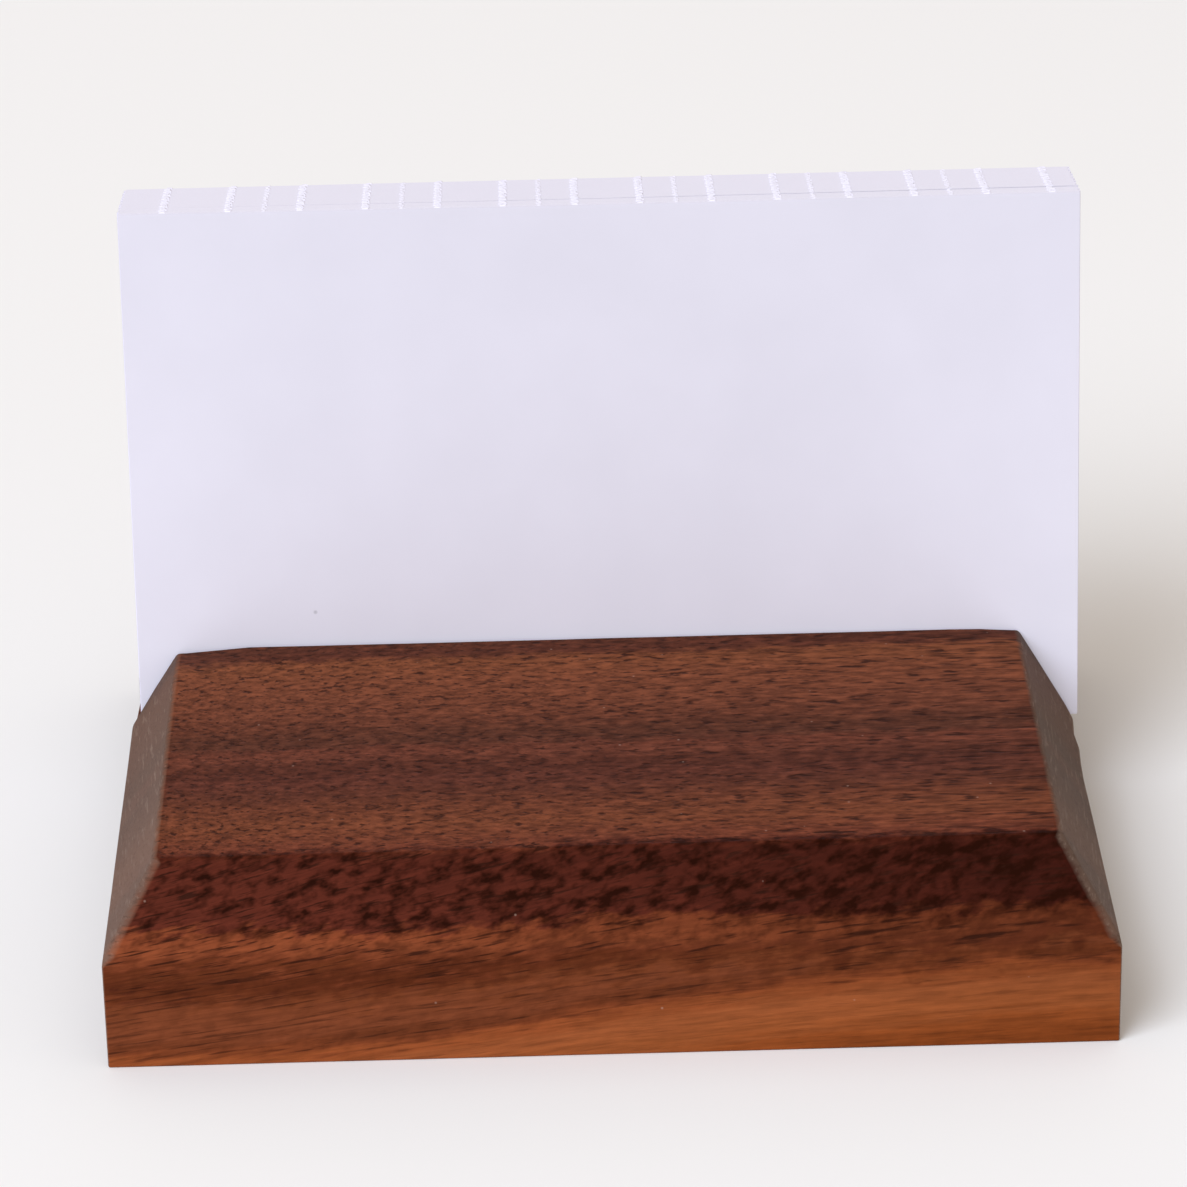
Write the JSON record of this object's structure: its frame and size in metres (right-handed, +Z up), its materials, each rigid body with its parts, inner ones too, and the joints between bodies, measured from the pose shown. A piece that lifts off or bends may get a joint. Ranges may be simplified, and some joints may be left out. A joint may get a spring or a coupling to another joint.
{
  "type": "business card holder",
  "caption": "Solid walnut desk block with bevelled edges and a leaning slot that holds a stack of business cards.",
  "frame": {"origin": "centre of the block's flat underside", "axes": "+Z up, -Y towards the front where the low wide top is, +X to the right along the slot"},
  "size_m": [0.0899, 0.0762, 0.0596],
  "materials": {
    "walnut": "sanded and oiled",
    "card_stock": "uncoated matte"
  },
  "bodies": {
    "holder": {"holder_block": "walnut"},
    "card_01_body": {"card_01": "card_stock"},
    "card_02_body": {"card_02": "card_stock"},
    "card_03_body": {"card_03": "card_stock"},
    "card_04_body": {"card_04": "card_stock"},
    "card_05_body": {"card_05": "card_stock"},
    "card_06_body": {"card_06": "card_stock"},
    "card_07_body": {"card_07": "card_stock"},
    "card_08_body": {"card_08": "card_stock"},
    "card_09_body": {"card_09": "card_stock"},
    "card_10_body": {"card_10": "card_stock"},
    "card_11_body": {"card_11": "card_stock"},
    "card_12_body": {"card_12": "card_stock"},
    "card_13_body": {"card_13": "card_stock"},
    "card_14_body": {"card_14": "card_stock"},
    "card_15_body": {"card_15": "card_stock"},
    "card_16_body": {"card_16": "card_stock"},
    "card_17_body": {"card_17": "card_stock"},
    "card_18_body": {"card_18": "card_stock"},
    "card_19_body": {"card_19": "card_stock"},
    "card_20_body": {"card_20": "card_stock"},
    "card_21_body": {"card_21": "card_stock"},
    "card_22_body": {"card_22": "card_stock"},
    "card_23_body": {"card_23": "card_stock"},
    "card_24_body": {"card_24": "card_stock"},
    "card_25_body": {"card_25": "card_stock"},
    "card_26_body": {"card_26": "card_stock"},
    "card_27_body": {"card_27": "card_stock"},
    "card_28_body": {"card_28": "card_stock"}
  },
  "joints": [
    {"name": "card_01_lift", "type": "slide", "parent": "holder", "child": "card_01_body", "axis": [0, 0.1392, 0.9903], "range_m": [0, 0.011]},
    {"name": "card_02_lift", "type": "slide", "parent": "holder", "child": "card_02_body", "axis": [0, 0.1392, 0.9903], "range_m": [0, 0.011]},
    {"name": "card_03_lift", "type": "slide", "parent": "holder", "child": "card_03_body", "axis": [0, 0.1392, 0.9903], "range_m": [0, 0.011]},
    {"name": "card_04_lift", "type": "slide", "parent": "holder", "child": "card_04_body", "axis": [0, 0.1392, 0.9903], "range_m": [0, 0.011]},
    {"name": "card_05_lift", "type": "slide", "parent": "holder", "child": "card_05_body", "axis": [0, 0.1392, 0.9903], "range_m": [0, 0.011]},
    {"name": "card_06_lift", "type": "slide", "parent": "holder", "child": "card_06_body", "axis": [0, 0.1392, 0.9903], "range_m": [0, 0.011]},
    {"name": "card_07_lift", "type": "slide", "parent": "holder", "child": "card_07_body", "axis": [0, 0.1392, 0.9903], "range_m": [0, 0.011]},
    {"name": "card_08_lift", "type": "slide", "parent": "holder", "child": "card_08_body", "axis": [0, 0.1392, 0.9903], "range_m": [0, 0.011]},
    {"name": "card_09_lift", "type": "slide", "parent": "holder", "child": "card_09_body", "axis": [0, 0.1392, 0.9903], "range_m": [0, 0.011]},
    {"name": "card_10_lift", "type": "slide", "parent": "holder", "child": "card_10_body", "axis": [0, 0.1392, 0.9903], "range_m": [0, 0.011]},
    {"name": "card_11_lift", "type": "slide", "parent": "holder", "child": "card_11_body", "axis": [0, 0.1392, 0.9903], "range_m": [0, 0.011]},
    {"name": "card_12_lift", "type": "slide", "parent": "holder", "child": "card_12_body", "axis": [0, 0.1392, 0.9903], "range_m": [0, 0.011]},
    {"name": "card_13_lift", "type": "slide", "parent": "holder", "child": "card_13_body", "axis": [0, 0.1392, 0.9903], "range_m": [0, 0.011]},
    {"name": "card_14_lift", "type": "slide", "parent": "holder", "child": "card_14_body", "axis": [0, 0.1392, 0.9903], "range_m": [0, 0.011]},
    {"name": "card_15_lift", "type": "slide", "parent": "holder", "child": "card_15_body", "axis": [0, 0.1392, 0.9903], "range_m": [0, 0.011]},
    {"name": "card_16_lift", "type": "slide", "parent": "holder", "child": "card_16_body", "axis": [0, 0.1392, 0.9903], "range_m": [0, 0.011]},
    {"name": "card_17_lift", "type": "slide", "parent": "holder", "child": "card_17_body", "axis": [0, 0.1392, 0.9903], "range_m": [0, 0.011]},
    {"name": "card_18_lift", "type": "slide", "parent": "holder", "child": "card_18_body", "axis": [0, 0.1392, 0.9903], "range_m": [0, 0.011]},
    {"name": "card_19_lift", "type": "slide", "parent": "holder", "child": "card_19_body", "axis": [0, 0.1392, 0.9903], "range_m": [0, 0.011]},
    {"name": "card_20_lift", "type": "slide", "parent": "holder", "child": "card_20_body", "axis": [0, 0.1392, 0.9903], "range_m": [0, 0.011]},
    {"name": "card_21_lift", "type": "slide", "parent": "holder", "child": "card_21_body", "axis": [0, 0.1392, 0.9903], "range_m": [0, 0.011]},
    {"name": "card_22_lift", "type": "slide", "parent": "holder", "child": "card_22_body", "axis": [0, 0.1392, 0.9903], "range_m": [0, 0.011]},
    {"name": "card_23_lift", "type": "slide", "parent": "holder", "child": "card_23_body", "axis": [0, 0.1392, 0.9903], "range_m": [0, 0.011]},
    {"name": "card_24_lift", "type": "slide", "parent": "holder", "child": "card_24_body", "axis": [0, 0.1392, 0.9903], "range_m": [0, 0.011]},
    {"name": "card_25_lift", "type": "slide", "parent": "holder", "child": "card_25_body", "axis": [0, 0.1392, 0.9903], "range_m": [0, 0.011]},
    {"name": "card_26_lift", "type": "slide", "parent": "holder", "child": "card_26_body", "axis": [0, 0.1392, 0.9903], "range_m": [0, 0.011]},
    {"name": "card_27_lift", "type": "slide", "parent": "holder", "child": "card_27_body", "axis": [0, 0.1392, 0.9903], "range_m": [0, 0.011]},
    {"name": "card_28_lift", "type": "slide", "parent": "holder", "child": "card_28_body", "axis": [0, 0.1392, 0.9903], "range_m": [0, 0.011]}
  ]
}
